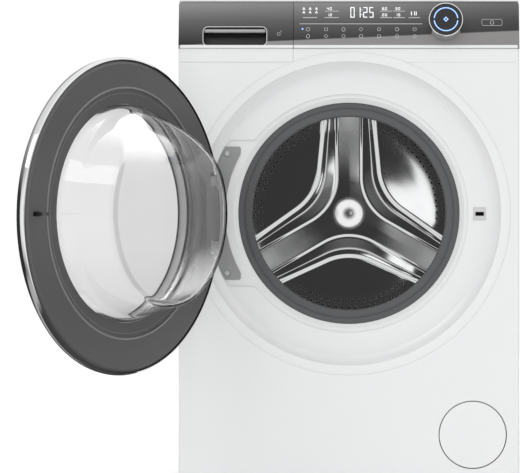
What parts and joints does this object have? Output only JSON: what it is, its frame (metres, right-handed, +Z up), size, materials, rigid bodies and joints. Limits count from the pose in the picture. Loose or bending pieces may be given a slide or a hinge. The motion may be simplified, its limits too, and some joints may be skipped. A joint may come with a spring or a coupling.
{
  "type": "front load washing machine",
  "caption": "White front load washing machine standing with its round glass door open, dark control strip, dispenser drawer, dial, gasket, and stainless drum with a pressed star back.",
  "frame": {"origin": "on the floor under the middle of the cabinet's footprint", "axes": "+X to the right seen from the front, +Y from the front panel to the back, +Z up"},
  "size_m": [0.8052, 1.0085, 0.85],
  "materials": {
    "white_enamel": "gloss",
    "white_plastic": "gloss",
    "worktop_laminate": "satin",
    "galvanised_steel": "satin",
    "grey_moulding": "matte",
    "brushed_dark": "brushed",
    "circuit_board": "matte",
    "drawer_plastic": "satin",
    "black_plastic": "satin",
    "cast_grey": "cast",
    "gasket_rubber": "matte",
    "spring_steel": "satin",
    "concrete": "rough",
    "motor_steel": "satin",
    "stainless": "polished",
    "lifter_plastic": "satin",
    "frame_grey": "satin",
    "bright_trim": "polished",
    "window_clear": "clear",
    "bowl_glass": "clear",
    "foot_plastic": "matte"
  },
  "bodies": {
    "cabinet": {"left_side_panel": "white_enamel", "right_side_panel": "white_enamel", "rear_panel": "galvanised_steel", "rear_access_cover": "galvanised_steel", "worktop": "worktop_laminate", "front_panel": "white_enamel", "base_tray": "grey_moulding", "fascia": "brushed_dark", "control_board": "circuit_board", "dispenser_housing": "drawer_plastic", "inlet_valve": "drawer_plastic", "mains_gland": "black_plastic", "door_lock": "white_plastic", "hinge_plate": "cast_grey", "hinge_pin": "galvanised_steel", "cabinet_screws": "galvanised_steel", "gasket": "gasket_rubber", "suspension_springs": "spring_steel", "damper_cylinders": "grey_moulding", "pump_housing": "grey_moulding", "sump_hose": "gasket_rubber", "fill_hose": "gasket_rubber", "drain_pipe": "black_plastic"},
    "tub": {"tub_front": "grey_moulding", "tub_rear": "grey_moulding", "bearings": "galvanised_steel", "heater": "galvanised_steel", "front_counterweight": "concrete", "top_counterweight": "concrete", "damper_rods": "galvanised_steel", "stator": "motor_steel"},
    "drum": {"drum_shell": "stainless", "drum_front": "stainless", "drum_back": "stainless", "hub_cap": "stainless", "lifters": "lifter_plastic", "spider": "cast_grey", "shaft": "galvanised_steel", "rotor": "motor_steel"},
    "door": {"door_inner_frame": "frame_grey", "door_trim_ring": "bright_trim", "door_outer_frame": "black_plastic", "door_window": "window_clear", "door_bowl": "bowl_glass", "door_hinge_leaf": "cast_grey"},
    "latch": {"latch_hook": "cast_grey"},
    "drawer": {"drawer_front": "brushed_dark", "drawer_strip": "white_plastic", "drawer_tray": "drawer_plastic", "drawer_dividers": "drawer_plastic"},
    "dial": {"dial_skirt": "bright_trim", "dial_cap": "black_plastic"},
    "power_key": {"power_key": "brushed_dark"},
    "flap": {"service_flap": "white_plastic"},
    "filter": {"pump_filter": "black_plastic"},
    "impeller": {"pump_impeller": "black_plastic"},
    "foot_front_left": {"foot_front_left": "foot_plastic"},
    "foot_front_right": {"foot_front_right": "foot_plastic"},
    "foot_rear_left": {"foot_rear_left": "foot_plastic"},
    "foot_rear_right": {"foot_rear_right": "foot_plastic"}
  },
  "joints": [
    {"name": "door_swing", "type": "hinge", "parent": "cabinet", "child": "door", "pos_m": [-0.2465, -0.28, 0.475], "axis": [0, 0, -1], "range_deg": [-122, 28]},
    {"name": "latch_spring", "type": "hinge", "parent": "door", "child": "latch", "pos_m": [-0.48485, -0.68975, 0.474], "axis": [0, 0, 1], "range_deg": [0, 5], "stiffness_Nm_per_rad": 0.5},
    {"name": "tub_float", "type": "slide", "parent": "cabinet", "child": "tub", "axis": [0, 0, 1], "range_m": [-0.01, 0.008], "stiffness_N_per_m": 12000, "springref_m": 0.03075, "deforming": ["gasket", "suspension_springs", "fill_hose", "sump_hose"]},
    {"name": "drum_spin", "type": "hinge", "parent": "tub", "child": "drum", "pos_m": [0, 0, 0.475], "axis": [0, 1, 0], "continuous": true},
    {"name": "drawer_slide", "type": "slide", "parent": "cabinet", "child": "drawer", "axis": [0, -1, 0], "range_m": [0, 0.22]},
    {"name": "dial_turn", "type": "hinge", "parent": "cabinet", "child": "dial", "pos_m": [0.1686, -0.25839, 0.8085], "axis": [0, -0.9863, 0.165], "continuous": true},
    {"name": "power_press", "type": "slide", "parent": "cabinet", "child": "power_key", "axis": [0, 0.9863, -0.165], "range_m": [0, 0.001], "stiffness_N_per_m": 1500},
    {"name": "flap_swing", "type": "hinge", "parent": "cabinet", "child": "flap", "pos_m": [0.149, -0.26, 0.0885], "axis": [0, 0, -1], "range_deg": [0, 100]},
    {"name": "filter_turn", "type": "hinge", "parent": "cabinet", "child": "filter", "pos_m": [0.216, -0.239, 0.0885], "axis": [0, 1, 0], "range_deg": [0, 90]},
    {"name": "impeller_spin", "type": "hinge", "parent": "cabinet", "child": "impeller", "pos_m": [0.216, -0.123, 0.0885], "axis": [0, 1, 0], "continuous": true},
    {"name": "foot_turn_front_left", "type": "hinge", "parent": "cabinet", "child": "foot_front_left", "pos_m": [-0.255, -0.217, 0.008], "axis": [0, 0, 1], "continuous": true},
    {"name": "foot_turn_front_right", "type": "hinge", "parent": "cabinet", "child": "foot_front_right", "pos_m": [0.255, -0.217, 0.008], "axis": [0, 0, 1], "continuous": true},
    {"name": "foot_turn_rear_left", "type": "hinge", "parent": "cabinet", "child": "foot_rear_left", "pos_m": [-0.255, 0.217, 0.008], "axis": [0, 0, 1], "continuous": true},
    {"name": "foot_turn_rear_right", "type": "hinge", "parent": "cabinet", "child": "foot_rear_right", "pos_m": [0.255, 0.217, 0.008], "axis": [0, 0, 1], "continuous": true}
  ]
}
